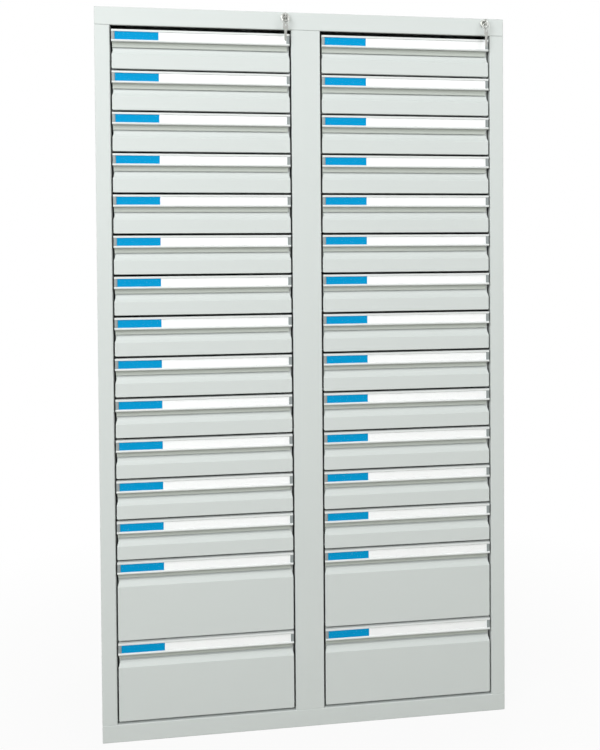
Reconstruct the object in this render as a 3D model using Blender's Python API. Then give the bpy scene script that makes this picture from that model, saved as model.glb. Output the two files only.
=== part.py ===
"""Free-standing industrial drawer cabinet with two bays of sliding steel drawers.

The carcass is folded sheet steel: a front frame of rails and stiles, side, top and
bottom panels, a centre partition and four runner racks. Every drawer slides forwards on
the ledges of its racks. Each bay has a key lock in the top rail that lifts a lock bar.

Metres, +Z up. The origin is the centre of the underside, and the fronts face -Y.
"""
import math

import bmesh
import bpy
from mathutils import Matrix, Vector

# Drawers: how they stack and how their fronts fill a bay
SMALL_DRAWERS = 13
LARGE_DRAWERS = 2
LARGE_PITCH_COUNT = 2
DRAWER_PITCH = 0.100
BAY_WIDTH = 0.438
FRONT_SPACING = 0.0040
FRONT_SIDE_GAP = 0.0025
LOWEST_FRONT_GAP = 0.0065
HIGHEST_FRONT_GAP = 0.0095

# Carcass
CABINET_DEPTH = 0.600
SIDE_STILE_WIDTH = 0.036
CENTRE_STILE_WIDTH = 0.072
RAIL_HEIGHT = 0.044
FRAME_DEPTH = 0.025
CARCASS_SHEET = 0.0015
BACK_SHEET = 0.0010
PANEL_FLANGE = 0.020
SEAM = 0.0003

# Drawer front: a face that slopes back into the finger grip, and a pull strip above it
DRAWER_SHEET = 0.0010
STRIP_HEIGHT = 0.030
GRIP_HEIGHT = 0.0157
SLOPE_HEIGHT = 0.0147
SLOPE_DEPTH = 0.0075
GRIP_SLIT = 0.0030
STRIP_WALL = 0.0015
TOP_LIP_HEIGHT = 0.006
TOP_LIP_REACH = 0.0025
BOTTOM_LIP_HEIGHT = 0.0055
BOTTOM_LIP_REACH = 0.0040
LIP_ROUND = 0.0015
BOTTOM_RETURN = 0.008
SIDE_RETURN_LAP = 0.0030

# Drawer pan and the runner ledges that it slides on
PAN_LENGTH = 0.550
RUNNER_SIDE_GAP = 0.005
RUNNER_FLANGE = 0.009
PAN_RIM_DROP = 0.0240
PAN_FLOOR_RISE = 0.004
LEDGE_WIDTH = 0.012
LEDGE_LENGTH = 0.525
LEDGE_FRONT_GAP = 0.003
RACK_BACK_GAP = 0.012

# Locks, keys and lock bars
LOCK_INSET = 0.0145
LOCK_DROP = 0.013
ROSETTE_RADIUS = 0.011
ROSETTE_THICKNESS = 0.0030
ROSETTE_ROUND = 0.0010
BARREL_RADIUS = 0.008
BARREL_LENGTH = 0.0225
PLUG_RADIUS = 0.0055
PLUG_PROUD = 0.0010
SPIGOT_RADIUS = 0.003
SPIGOT_REACH = 0.0022
CAM_THICKNESS = 0.002
CAM_REACH = 0.022
CAM_HALF_WIDTH = 0.006
CAM_GAP = 0.0015
BAR_THICKNESS = 0.003
BAR_WIDTH = 0.0137
BAR_SLOT_CLEARANCE = 0.0007
BAR_TOP_DROP = 0.006

# Keys and the ring that joins them
KEY_THICKNESS = 0.002
BOW_RADIUS = 0.011
BOW_HOLE_RADIUS = 0.004
BOW_HOLE_OFFSET = 0.005
BLADE_WIDTH = 0.0075
BLADE_LENGTH = 0.024
BLADE_TAPER = 0.003
KEYWAY_CLEARANCE = 0.0003
RING_RADIUS = 0.0085
RING_WIRE_RADIUS = 0.0008
SPARE_KEY_SLACK = 0.0007
SPARE_KEY_TURN = math.radians(45)

# Fineness of the round pieces, and how far a cutter runs past what it cuts
LOCK_SEGMENTS = 24
BOW_SEGMENTS = 18
WIRE_SEGMENTS = 8
LIP_STEPS = 3
SMOOTH_ANGLE = math.radians(35)
OVERRUN = 0.002

# Sizes that follow from the ones above
CABINET_WIDTH = 2 * (SIDE_STILE_WIDTH + BAY_WIDTH) + CENTRE_STILE_WIDTH
STACK_PITCHES = SMALL_DRAWERS + LARGE_DRAWERS * LARGE_PITCH_COUNT
STACK_HEIGHT = STACK_PITCHES * DRAWER_PITCH - FRONT_SPACING
OPENING_HEIGHT = LOWEST_FRONT_GAP + STACK_HEIGHT + HIGHEST_FRONT_GAP
CABINET_HEIGHT = OPENING_HEIGHT + 2 * RAIL_HEIGHT
FRONT_Y = -CABINET_DEPTH / 2
BACK_Y = CABINET_DEPTH / 2
SIDE_X = CABINET_WIDTH / 2
FRAME_BACK_Y = FRONT_Y + FRAME_DEPTH
PANEL_FRONT_Y = FRAME_BACK_Y + SEAM
BACK_PANEL_Y = BACK_Y - CARCASS_SHEET - SEAM - BACK_SHEET
PANEL_BACK_Y = BACK_PANEL_Y - SEAM
STACK_BOTTOM = RAIL_HEIGHT + LOWEST_FRONT_GAP
OPENING_TOP = CABINET_HEIGHT - RAIL_HEIGHT
BAY_CENTRE_X = (CENTRE_STILE_WIDTH + BAY_WIDTH) / 2
LOCK_Z = CABINET_HEIGHT - LOCK_DROP
GRIP_DEPTH = SLOPE_DEPTH + GRIP_SLIT

BAYS = {"left": -BAY_CENTRE_X, "right": BAY_CENTRE_X}


def painted(name, colour, roughness, metallic):
    """Principled material with the finish of one kind of piece."""
    finish = bpy.data.materials.new(name)
    finish.use_nodes = True
    shader = finish.node_tree.nodes["Principled BSDF"]
    shader.inputs["Base Color"].default_value = (*colour, 1.0)
    shader.inputs["Roughness"].default_value = roughness
    shader.inputs["Metallic"].default_value = metallic
    finish.diffuse_color = (*colour, 1.0)
    return finish


def add_object(name, mesh, finish):
    """Object in the scene with its mesh and its material."""
    piece = bpy.data.objects.new(name, mesh)
    bpy.context.scene.collection.objects.link(piece)
    if finish is not None and not mesh.materials:
        mesh.materials.append(finish)
    return piece


def to_object(name, bm, finish):
    """Turn a bmesh into an object whose faces point outwards."""
    bmesh.ops.recalc_face_normals(bm, faces=bm.faces)
    mesh = bpy.data.meshes.new(name)
    bm.to_mesh(mesh)
    bm.free()
    return add_object(name, mesh, finish)


def prism(name, outline, axis, start, end, finish=None):
    """Solid with a flat outline, drawn along one axis from start to end.

    The outline's pairs are (y, z) along X, (x, z) along Y and (x, y) along Z.
    """
    places = {
        "X": lambda u, v, w: (w, u, v),
        "Y": lambda u, v, w: (u, w, v),
        "Z": lambda u, v, w: (u, v, w),
    }
    place = places[axis]
    bm = bmesh.new()
    near = [bm.verts.new(place(u, v, start)) for u, v in outline]
    far = [bm.verts.new(place(u, v, end)) for u, v in outline]
    bm.faces.new(near[::-1])
    bm.faces.new(far)
    for index in range(len(outline)):
        after = (index + 1) % len(outline)
        bm.faces.new((near[index], near[after], far[after], far[index]))
    return to_object(name, bm, finish)


def box(name, low, high, finish=None):
    """Plain block between two corners."""
    outline = [(low[0], low[1]), (high[0], low[1]), (high[0], high[1]), (low[0], high[1])]
    return prism(name, outline, "Z", low[2], high[2], finish)


def turned(name, outline, centre, closed, segments, finish=None):
    """Turn pairs of (radius, y) about an axis along Y through centre.

    A closed outline makes a ring; an open one makes a solid with flat ends.
    """
    bm = bmesh.new()
    rings = []
    for radius, y in outline:
        ring = []
        for step in range(segments):
            angle = math.tau * step / segments
            ring.append(bm.verts.new((centre[0] + radius * math.cos(angle), y,
                                      centre[1] + radius * math.sin(angle))))
        rings.append(ring)
    pairs = list(zip(rings, rings[1:]))
    if closed:
        pairs.append((rings[-1], rings[0]))
    else:
        bm.faces.new(rings[0])
        bm.faces.new(rings[-1][::-1])
    for one, other in pairs:
        for step in range(segments):
            after = (step + 1) % segments
            bm.faces.new((one[step], one[after], other[after], other[step]))
    piece = to_object(name, bm, finish)
    piece.data.shade_smooth()
    piece.data.set_sharp_from_angle(angle=SMOOTH_ANGLE)
    return piece


def combine(piece, tools, operation):
    """Join tools to a piece, or cut them out of it, and keep only the result."""
    for tool in tools:
        step = piece.modifiers.new(tool.name, "BOOLEAN")
        step.operation = operation
        step.object = tool
    bpy.context.view_layer.update()
    plain = piece.data
    evaluated = piece.evaluated_get(bpy.context.evaluated_depsgraph_get())
    result = bpy.data.meshes.new_from_object(evaluated)
    piece.modifiers.clear()
    piece.data = result
    bpy.data.meshes.remove(plain)
    for tool in tools:
        spare = tool.data
        bpy.data.objects.remove(tool)
        bpy.data.meshes.remove(spare)


def sheet_section(path, thickness):
    """Outline of a sheet folded along a path, with its thickness on the path's left."""
    normals = []
    for start, end in zip(path, path[1:]):
        run = (Vector(end) - Vector(start)).normalized()
        normals.append(Vector((-run.y, run.x)))
    inner = []
    for index, point in enumerate(path):
        before = normals[max(index - 1, 0)]
        after = normals[min(index, len(normals) - 1)]
        mitre = (before + after) / (1 + before.dot(after))
        inner.append(Vector(point) + mitre * thickness)
    return [Vector(point) for point in path] + inner[::-1]


def rail(name, low_z, high_z, finish):
    """Full-width front rail: a folded box, open at the back."""
    low = Vector((-SIDE_X, FRONT_Y, low_z))
    high = Vector((SIDE_X, FRAME_BACK_Y, high_z))
    wall = Vector((CARCASS_SHEET,) * 3)
    piece = box(name, low, high, finish)
    hollow_high = high - wall
    hollow_high.y = FRAME_BACK_Y + OVERRUN
    combine(piece, [box("rail_hollow", low + wall, hollow_high)], "DIFFERENCE")
    return piece


def bar_sides(bay_x):
    """Lowest and highest x of a bay's lock bar, which runs inside the stile on its right."""
    low = bay_x + BAY_WIDTH / 2 + CARCASS_SHEET + SEAM
    return low, low + BAR_THICKNESS


def bar_faces():
    """Front and back y of the lock bars: the back clears the cams by one seam."""
    back = FRONT_Y + BARREL_LENGTH + CAM_GAP - SEAM
    return back - BAR_WIDTH, back


def lock_x(bay_x):
    """Axis of a bay's lock, a little in from the right edge of the bay."""
    return bay_x + BAY_WIDTH / 2 - LOCK_INSET


def top_rail(finish):
    """Top rail with a hole for each lock and a slot for each lock bar."""
    piece = rail("top_rail", OPENING_TOP, CABINET_HEIGHT, finish)
    tools = []
    for bay, bay_x in BAYS.items():
        hole = [(BARREL_RADIUS + SEAM, FRONT_Y - OVERRUN),
                (BARREL_RADIUS + SEAM, FRONT_Y + CARCASS_SHEET + OVERRUN)]
        tools.append(turned(bay + "_hole", hole, (lock_x(bay_x), LOCK_Z), False, LOCK_SEGMENTS))
        bar_low, bar_high = bar_sides(bay_x)
        bar_front, _ = bar_faces()
        tools.append(box(bay + "_slot",
                         (bar_low - BAR_SLOT_CLEARANCE, bar_front - BAR_SLOT_CLEARANCE,
                          OPENING_TOP - OVERRUN),
                         (bar_high + BAR_SLOT_CLEARANCE, FRAME_BACK_Y + OVERRUN,
                          OPENING_TOP + CARCASS_SHEET + OVERRUN)))
    combine(piece, tools, "DIFFERENCE")


def stile(name, low_x, high_x, finish):
    """Upright of the front frame: a channel that is open at the back."""
    path = [(low_x, FRAME_BACK_Y), (low_x, FRONT_Y), (high_x, FRONT_Y), (high_x, FRAME_BACK_Y)]
    prism(name, sheet_section(path, CARCASS_SHEET), "Z",
          RAIL_HEIGHT + SEAM, OPENING_TOP - SEAM, finish)


def side_panel(name, side, finish):
    """Side sheet with its back edge folded in."""
    path = [(side * SIDE_X, PANEL_FRONT_Y), (side * SIDE_X, BACK_Y),
            (side * (SIDE_X - PANEL_FLANGE), BACK_Y)]
    prism(name, sheet_section(path, side * CARCASS_SHEET), "Z", 0, CABINET_HEIGHT, finish)


def tray_panel(name, flat_z, up, finish):
    """Top or bottom sheet between the sides, with both its sides folded inwards."""
    half = SIDE_X - CARCASS_SHEET - SEAM
    edge_z = flat_z + up * PANEL_FLANGE
    path = [(-half, edge_z), (-half, flat_z), (half, flat_z), (half, edge_z)]
    prism(name, sheet_section(path, up * CARCASS_SHEET), "Y", PANEL_FRONT_Y, PANEL_BACK_Y, finish)


def back_panels(finish):
    """Two back sheets that meet behind the partition."""
    outer = SIDE_X - CARCASS_SHEET - SEAM
    inner = SEAM / 2
    for name, low_x, high_x in (("left_back_panel", -outer, -inner),
                                ("right_back_panel", inner, outer)):
        box(name, (low_x, BACK_PANEL_Y, 0), (high_x, BACK_PANEL_Y + BACK_SHEET, CABINET_HEIGHT),
            finish)


def centre_partition(finish):
    """Sheet between the bays, from the centre stile to the back."""
    half = CARCASS_SHEET / 2
    low_z = CARCASS_SHEET + SEAM
    box("centre_partition", (-half, PANEL_FRONT_Y, low_z),
        (half, PANEL_BACK_Y, CABINET_HEIGHT - low_z), finish)


def drawer_places():
    """Number, bottom height and pitch count of each drawer in a bay, from the top down."""
    top = STACK_BOTTOM + STACK_PITCHES * DRAWER_PITCH
    for number in range(1, SMALL_DRAWERS + LARGE_DRAWERS + 1):
        pitches = 1 if number <= SMALL_DRAWERS else LARGE_PITCH_COUNT
        top -= pitches * DRAWER_PITCH
        yield number, top, pitches


def runner_rack(name, web_x, wall_x, finish):
    """Folded upright on a bay's side with one ledge under the edge of each drawer."""
    into_bay = 1 if web_x > wall_x else -1
    front_y = PANEL_FRONT_Y
    back_y = PANEL_BACK_Y - RACK_BACK_GAP
    path = [(wall_x, front_y), (web_x, front_y), (web_x, back_y), (wall_x, back_y)]
    rack = prism(name, sheet_section(path, into_bay * CARCASS_SHEET), "Z",
                 CARCASS_SHEET + SEAM, OPENING_TOP, finish)
    ledge_front = front_y + LEDGE_FRONT_GAP
    ledges = []
    for number, bottom, _ in drawer_places():
        top = bottom + PAN_FLOOR_RISE - SEAM
        ends = sorted((web_x - into_bay * CARCASS_SHEET / 2, web_x + into_bay * LEDGE_WIDTH))
        ledges.append(box(f"ledge_{number:02d}", (ends[0], ledge_front, top - CARCASS_SHEET),
                          (ends[1], ledge_front + LEDGE_LENGTH, top)))
    combine(rack, ledges, "UNION")


def runner_racks(finish):
    """A rack on both sides of each bay, against the folded edges of the bottom panel or
    against the partition."""
    outer_wall = SIDE_X - 2 * (CARCASS_SHEET + SEAM)
    inner_wall = CARCASS_SHEET / 2 + SEAM
    for bay, bay_x in BAYS.items():
        left_wall = -outer_wall if bay == "left" else inner_wall
        right_wall = outer_wall if bay == "right" else -inner_wall
        runner_rack(bay + "_bay_left_rack", bay_x - BAY_WIDTH / 2, left_wall, finish)
        runner_rack(bay + "_bay_right_rack", bay_x + BAY_WIDTH / 2, right_wall, finish)


def lip_points(reach, low_z, high_z):
    """Outer edge of a strip lip, rounded at its top and bottom, from low to high."""
    quarter = math.pi / 2
    points = []
    for corner_z, first in ((low_z + LIP_ROUND, math.pi + quarter), (high_z - LIP_ROUND, math.pi)):
        for step in range(LIP_STEPS + 1):
            angle = first - quarter * step / LIP_STEPS
            points.append((-reach + LIP_ROUND + LIP_ROUND * math.cos(angle),
                           corner_z + LIP_ROUND * math.sin(angle)))
    return points


def face_section(height):
    """Side view of the folded face: bottom return, face and the slope into the grip.

    Pairs of (y, z) with the face at y = 0, and the height of the slope's top.
    """
    slope_top = height - STRIP_HEIGHT - GRIP_HEIGHT
    path = [(SLOPE_DEPTH, slope_top), (0, slope_top - SLOPE_HEIGHT), (0, 0), (BOTTOM_RETURN, 0)]
    return sheet_section(path, DRAWER_SHEET), slope_top


def strip_section(height):
    """Side view of the pull strip: its web, wall and both lips, in pairs of (y, z)."""
    low = height - STRIP_HEIGHT
    window_low = low + BOTTOM_LIP_HEIGHT
    window_high = height - TOP_LIP_HEIGHT
    outline = [(GRIP_DEPTH + DRAWER_SHEET, height),
               (GRIP_DEPTH + DRAWER_SHEET, height - STRIP_WALL),
               (STRIP_WALL, height - STRIP_WALL), (STRIP_WALL, low)]
    outline += lip_points(BOTTOM_LIP_REACH, low, window_low)
    outline += [(0, window_low), (0, window_high)]
    outline += lip_points(TOP_LIP_REACH, window_high, height)
    return outline


def drawer_mesh(name, pitches, finish):
    """One drawer of a given height: folded face, pull strip, side returns and pan.

    The floor's edges stand out past the pan's sides and slide on the ledges. The origin
    is the middle of the front's bottom edge, on the face.
    """
    height = pitches * DRAWER_PITCH - FRONT_SPACING
    half_front = BAY_WIDTH / 2 - FRONT_SIDE_GAP
    half_runner = BAY_WIDTH / 2 - RUNNER_SIDE_GAP
    half_pan = half_runner - RUNNER_FLANGE
    half_sheet = DRAWER_SHEET / 2
    rim_z = height - PAN_RIM_DROP
    outline, slope_top = face_section(height)
    drawer = prism(name, outline, "X", -half_front, half_front, finish)

    wall_middle = GRIP_DEPTH + half_sheet
    side_return = [(half_sheet, half_sheet), (wall_middle, half_sheet),
                   (wall_middle, slope_top - half_sheet), (SLOPE_DEPTH, slope_top - half_sheet),
                   (half_sheet, slope_top - SLOPE_HEIGHT - half_sheet)]
    side_high = half_front - SEAM
    side_low = side_high - SIDE_RETURN_LAP
    pieces = [prism("strip", strip_section(height), "X", -half_front, half_front),
              prism("return_left", side_return, "X", -side_high, -side_low),
              prism("return_right", side_return, "X", side_low, side_high),
              box("grip_wall", (-half_runner, GRIP_DEPTH, PAN_FLOOR_RISE),
                  (half_runner, GRIP_DEPTH + DRAWER_SHEET, height - STRIP_WALL / 2)),
              box("runners", (-half_runner, GRIP_DEPTH, PAN_FLOOR_RISE),
                  (half_runner, PAN_LENGTH, PAN_FLOOR_RISE + DRAWER_SHEET)),
              box("pan", (-half_pan, GRIP_DEPTH, PAN_FLOOR_RISE), (half_pan, PAN_LENGTH, rim_z))]
    combine(drawer, pieces, "UNION")
    hollow = box("pan_hollow",
                 (-half_pan + DRAWER_SHEET, GRIP_DEPTH + DRAWER_SHEET,
                  PAN_FLOOR_RISE + DRAWER_SHEET),
                 (half_pan - DRAWER_SHEET, PAN_LENGTH - DRAWER_SHEET, rim_z + OVERRUN))
    combine(drawer, [hollow], "DIFFERENCE")
    mesh = drawer.data
    mesh.name = name
    bpy.data.objects.remove(drawer)
    return mesh


def drawers(finish):
    """All drawers; those of one height share their mesh."""
    meshes = {1: drawer_mesh("small_drawer", 1, finish),
              LARGE_PITCH_COUNT: drawer_mesh("large_drawer", LARGE_PITCH_COUNT, finish)}
    for bay, bay_x in BAYS.items():
        for number, bottom, pitches in drawer_places():
            drawer = add_object(f"{bay}_drawer_{number:02d}", meshes[pitches], None)
            drawer.location = (bay_x, FRONT_Y, bottom)


def lock_body(name, centre, finish):
    """Barrel of a lock with its round rosette, hollow for the plug."""
    bore = PLUG_RADIUS + SEAM
    face = FRONT_Y - SEAM
    outline = [(bore, face - ROSETTE_THICKNESS),
               (ROSETTE_RADIUS - ROSETTE_ROUND, face - ROSETTE_THICKNESS),
               (ROSETTE_RADIUS, face - ROSETTE_THICKNESS + ROSETTE_ROUND),
               (ROSETTE_RADIUS, face), (BARREL_RADIUS, face),
               (BARREL_RADIUS, FRONT_Y + BARREL_LENGTH), (bore, FRONT_Y + BARREL_LENGTH)]
    turned(name, outline, centre, True, LOCK_SEGMENTS, finish)


def key_outline(length_sign):
    """Flat outline of a key as pairs (along, across) from the bow's centre."""
    half_blade = BLADE_WIDTH / 2
    spread = math.asin(half_blade / BOW_RADIUS)
    points = []
    for step in range(BOW_SEGMENTS + 1):
        angle = spread + (math.tau - 2 * spread) * step / BOW_SEGMENTS
        points.append((length_sign * BOW_RADIUS * math.cos(angle), BOW_RADIUS * math.sin(angle)))
    tip = BOW_RADIUS + BLADE_LENGTH
    shoulder = tip - BLADE_TAPER
    points += [(length_sign * shoulder, -half_blade), (length_sign * tip, -half_blade / 2),
               (length_sign * tip, half_blade / 2), (length_sign * shoulder, half_blade)]
    return points


def bow_y():
    """Centre of the bow of the key in its lock, just clear of the plug's face."""
    face = FRONT_Y - SEAM - ROSETTE_THICKNESS - PLUG_PROUD
    return face - SEAM - math.sqrt(BOW_RADIUS ** 2 - (BLADE_WIDTH / 2) ** 2)


def lock_plug(name, centre, finish):
    """Turning core of a lock, with its keyway and a spigot for the cam."""
    front = FRONT_Y - SEAM - ROSETTE_THICKNESS - PLUG_PROUD
    back = FRONT_Y + BARREL_LENGTH + SEAM
    end = back + CAM_GAP + CAM_THICKNESS + SPIGOT_REACH
    outline = [(PLUG_RADIUS, front), (PLUG_RADIUS, back), (SPIGOT_RADIUS, back),
               (SPIGOT_RADIUS, end)]
    plug = turned(name, outline, centre, False, LOCK_SEGMENTS, finish)
    half_slot = KEY_THICKNESS / 2 + KEYWAY_CLEARANCE
    half_height = BLADE_WIDTH / 2 + KEYWAY_CLEARANCE
    slot_end = bow_y() + BOW_RADIUS + BLADE_LENGTH + KEYWAY_CLEARANCE
    keyway = box("keyway", (centre[0] - half_slot, front - OVERRUN, centre[1] - half_height),
                 (centre[0] + half_slot, slot_end, centre[1] + half_height))
    combine(plug, [keyway], "DIFFERENCE")


def lock_cam(name, centre, finish):
    """Flat cam on the plug's spigot. At rest it points down."""
    front = FRONT_Y + BARREL_LENGTH + CAM_GAP
    points = []
    for step in range(LOCK_SEGMENTS // 2 + 1):
        angle = math.pi * step / (LOCK_SEGMENTS // 2)
        points.append((centre[0] + CAM_HALF_WIDTH * math.cos(angle),
                       centre[1] + CAM_HALF_WIDTH * math.sin(angle)))
    tip_z = centre[1] - CAM_REACH
    tip_half = CAM_HALF_WIDTH / 2
    points += [(centre[0] - tip_half, tip_z), (centre[0] + tip_half, tip_z)]
    cam = prism(name, points, "Y", front, front + CAM_THICKNESS, finish)
    eye = [(SPIGOT_RADIUS + SEAM, front - OVERRUN),
           (SPIGOT_RADIUS + SEAM, front + CAM_THICKNESS + OVERRUN)]
    combine(cam, [turned("cam_eye", eye, centre, False, LOCK_SEGMENTS)], "DIFFERENCE")


def key(name, centre, finish):
    """Key in its lock: blade level in the keyway, bow upright in front of the lock."""
    middle = bow_y()
    outline = [(middle + along, centre[1] + across) for along, across in key_outline(1)]
    half = KEY_THICKNESS / 2
    piece = prism(name, outline, "X", centre[0] - half, centre[0] + half, finish)
    hole = key_hole("bow_hole")
    hole.matrix_world = (Matrix.Translation((centre[0], middle - BOW_HOLE_OFFSET, centre[1]))
                         @ Matrix.Rotation(math.pi / 2, 4, "Z"))
    combine(piece, [hole], "DIFFERENCE")


def key_hole(name):
    """Cutter for the hole in a bow, about the origin and along Y."""
    reach = KEY_THICKNESS / 2 + OVERRUN
    outline = [(BOW_HOLE_RADIUS, -reach), (BOW_HOLE_RADIUS, reach)]
    return turned(name, outline, (0, 0), False, LOCK_SEGMENTS)


def ring_top_z():
    """Height of the ring's wire where it rests in the hole of the key in the lock."""
    return LOCK_Z - (BOW_HOLE_RADIUS - RING_WIRE_RADIUS - SEAM)


def key_ring(name, centre, finish):
    """Wire ring that hangs from the key in the lock and faces forwards."""
    y = bow_y() - BOW_HOLE_OFFSET
    outline = []
    for step in range(WIRE_SEGMENTS):
        angle = math.tau * step / WIRE_SEGMENTS
        outline.append((RING_RADIUS + RING_WIRE_RADIUS * math.cos(angle),
                        y + RING_WIRE_RADIUS * math.sin(angle)))
    turned(name, outline, (centre[0], ring_top_z() - RING_RADIUS), True, LOCK_SEGMENTS, finish)


def spare_key(name, centre, finish):
    """Second key, hanging from the bottom of the ring and turned part way to the front."""
    half = KEY_THICKNESS / 2
    outline = [(across, along) for along, across in key_outline(-1)]
    piece = prism(name, outline, "Y", -half, half, finish)
    hole = key_hole("spare_bow_hole")
    hole.location = (0, 0, BOW_HOLE_OFFSET)
    combine(piece, [hole], "DIFFERENCE")
    wire_z = ring_top_z() - 2 * RING_RADIUS
    hole_z = wire_z - (BOW_HOLE_RADIUS - RING_WIRE_RADIUS - SPARE_KEY_SLACK)
    piece.location = (centre[0], bow_y() - BOW_HOLE_OFFSET, hole_z - BOW_HOLE_OFFSET)
    piece.rotation_euler.z = math.pi / 2 - SPARE_KEY_TURN


def lock_bar(name, bay_x, finish):
    """Upright bar inside the stile, standing on the bottom rail until the cam lifts it."""
    low_x, high_x = bar_sides(bay_x)
    front_y, back_y = bar_faces()
    box(name, (low_x, front_y, RAIL_HEIGHT + SEAM), (high_x, back_y, LOCK_Z - BAR_TOP_DROP),
        finish)


def lock_set(bay, bay_x, nickel, brass, zinc):
    """Every piece of one bay's lock."""
    centre = (lock_x(bay_x), LOCK_Z)
    lock_body(bay + "_lock_body", centre, nickel)
    lock_plug(bay + "_lock_plug", centre, brass)
    lock_cam(bay + "_lock_cam", centre, zinc)
    key(bay + "_key", centre, nickel)
    key_ring(bay + "_key_ring", centre, nickel)
    spare_key(bay + "_spare_key", centre, nickel)
    lock_bar(bay + "_lock_bar", bay_x, zinc)


def carcass(enamel, galvanised):
    """Front frame, panels, partition and racks."""
    rail("bottom_rail", 0, RAIL_HEIGHT, enamel)
    top_rail(enamel)
    half_centre = CENTRE_STILE_WIDTH / 2
    stile("left_stile", -SIDE_X, -SIDE_X + SIDE_STILE_WIDTH, enamel)
    stile("centre_stile", -half_centre, half_centre, enamel)
    stile("right_stile", SIDE_X - SIDE_STILE_WIDTH, SIDE_X, enamel)
    side_panel("left_side_panel", -1, enamel)
    side_panel("right_side_panel", 1, enamel)
    tray_panel("bottom_panel", 0, 1, enamel)
    tray_panel("top_panel", CABINET_HEIGHT, -1, enamel)
    back_panels(enamel)
    centre_partition(enamel)
    runner_racks(galvanised)


def main():
    for old in list(bpy.data.objects):
        bpy.data.objects.remove(old)
    enamel = painted("light_grey_enamel", (0.78, 0.82, 0.81), 0.42, 0.0)
    drawer_enamel = painted("drawer_enamel", (0.80, 0.83, 0.82), 0.40, 0.0)
    galvanised = painted("galvanised_steel", (0.62, 0.64, 0.65), 0.38, 1.0)
    nickel = painted("nickel_plate", (0.80, 0.79, 0.75), 0.18, 1.0)
    brass = painted("plug_metal", (0.74, 0.72, 0.66), 0.28, 1.0)
    carcass(enamel, galvanised)
    drawers(drawer_enamel)
    for bay, bay_x in BAYS.items():
        lock_set(bay, bay_x, nickel, brass, galvanised)


main()
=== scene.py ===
"""Looks of a free-standing industrial drawer cabinet with two bays of steel drawers.

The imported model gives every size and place. Each CAD drawer is replaced by its pressed
front, pull strip, end caps, label cards, clear cover, grip panel and liner, pan and runners.
"""
import math

import bmesh
import bpy
from mathutils import Matrix, Vector


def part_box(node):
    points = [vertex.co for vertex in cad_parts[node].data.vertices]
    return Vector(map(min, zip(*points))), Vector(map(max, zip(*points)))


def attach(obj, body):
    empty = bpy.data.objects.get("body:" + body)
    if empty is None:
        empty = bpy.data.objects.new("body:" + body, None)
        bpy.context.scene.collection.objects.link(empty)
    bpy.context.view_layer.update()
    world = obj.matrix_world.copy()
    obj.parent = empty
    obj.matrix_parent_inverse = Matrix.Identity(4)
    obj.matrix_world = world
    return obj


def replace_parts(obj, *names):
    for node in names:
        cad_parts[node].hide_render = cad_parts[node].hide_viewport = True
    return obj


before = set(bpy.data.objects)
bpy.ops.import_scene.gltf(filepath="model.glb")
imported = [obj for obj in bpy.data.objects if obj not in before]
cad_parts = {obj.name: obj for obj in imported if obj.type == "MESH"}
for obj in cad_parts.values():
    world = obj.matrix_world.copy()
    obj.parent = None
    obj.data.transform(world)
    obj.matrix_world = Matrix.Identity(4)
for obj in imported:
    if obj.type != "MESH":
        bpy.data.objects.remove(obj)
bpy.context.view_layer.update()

bl_info = {
    "name": "Industrial Drawer Cabinet",
    "version": (1, 0, 0),
    "blender": (4, 5, 0),
    "location": "3D View > Sidebar > Cabinet",
    "description": "Builds the visible pieces and finishes of a steel drawer cabinet",
    "category": "Object",
}

BAYS = ("left", "right")
STILES = ("left_stile", "centre_stile", "right_stile")
DRAWERS = sorted(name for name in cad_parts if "_drawer_" in name)

# Camera, fitted to the photograph's 600 x 750 frame
PHOTO_WIDTH = 600
PHOTO_HEIGHT = 750
PRINCIPAL_X = 383
PRINCIPAL_Y = 264
FOCAL_PIXELS = 953.58
SENSOR_MM = 36
CAMERA_PLACE = (-0.1923, -2.6924, 1.2253)
CAMERA_YAW = 0.1596
CAMERA_PITCH = -0.0223
CAMERA_ROLL = -0.0054

# Soft lamps: name, place, size and power; all look at one point
LAMPS = (
    ("left_lamp", (-2.3, -3.6, 2.7), (1.6, 2.4), 120),
    ("right_lamp", (2.3, -3.6, 2.7), (1.6, 2.4), 53.6),
    ("upper_lamp", (-0.2, -1.9, 3.5), (2.6, 1.4), 8),
    ("back_lamp", (1.4, 4.0, 2.4), (2.4, 1.6), 100),
)
LAMP_TARGET = (0.0, 0.0, 1.1)
LAMP_TINT = (0.962, 0.982, 1.0)
ROOM_LIGHT = 0.32
ROOM_TINT = (1.0, 1.0, 0.93, 1.0)
CLIP_START = 0.05

# Floor: a disc just below the cabinet, whose white is weaker near the cabinet
FLOOR_RADIUS = 9.0
FLOOR_DROP = 0.0005
FADE_START = 0.5
FADE_END = 1.6
NEAREST_WHITE = 0.94

# Fineness of bends, round pieces and wires
BEND_STEPS = 4
BEAD_STEPS = 10
ROUND_STEPS = 64
WIRE_STEPS = 12
SHARP_ANGLE = math.radians(40)
RIB_ANGLE = math.radians(12)

# Turn of the spare key about its own length
SPARE_KEY_TURN = math.radians(45)

# Heights on a drawer front's slope, as shares of its height
SLOPE_SHARES = (0.25, 0.4, 0.55, 0.7, 0.85, 1.0)
# First and last angle of the grip liner's arc, in degrees
LINER_ARC = (12, 72)
# Cuts of a key, as shares of the deepest, and how far its bow stays open beside the neck
KEY_CUTS = (0.35, 1.0, 0.55, 0.85, 0.2)
NECK_ANGLE = 4
# How far cards and covers reach into the strip's slots, as shares of a slot's depth
CARD_TUCK = 0.8
COVER_TUCK = 0.7
# Rounding of thin edges as a share of the thickness, and of tight bends likewise
EDGE_SHARE = 0.2
BEND_SHARE = 1.2
# Radius of the barrel and of the rail's hole behind a rosette, as shares of its own
BARREL_SHARE = 0.72
LOCK_HOLE_SHARE = 0.75
# Groove around the plug: how far in its corners lie, in widths of the rosette's rim
GROOVE_RIMS = (3, 2.7, 2.2, 1.8)


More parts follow.
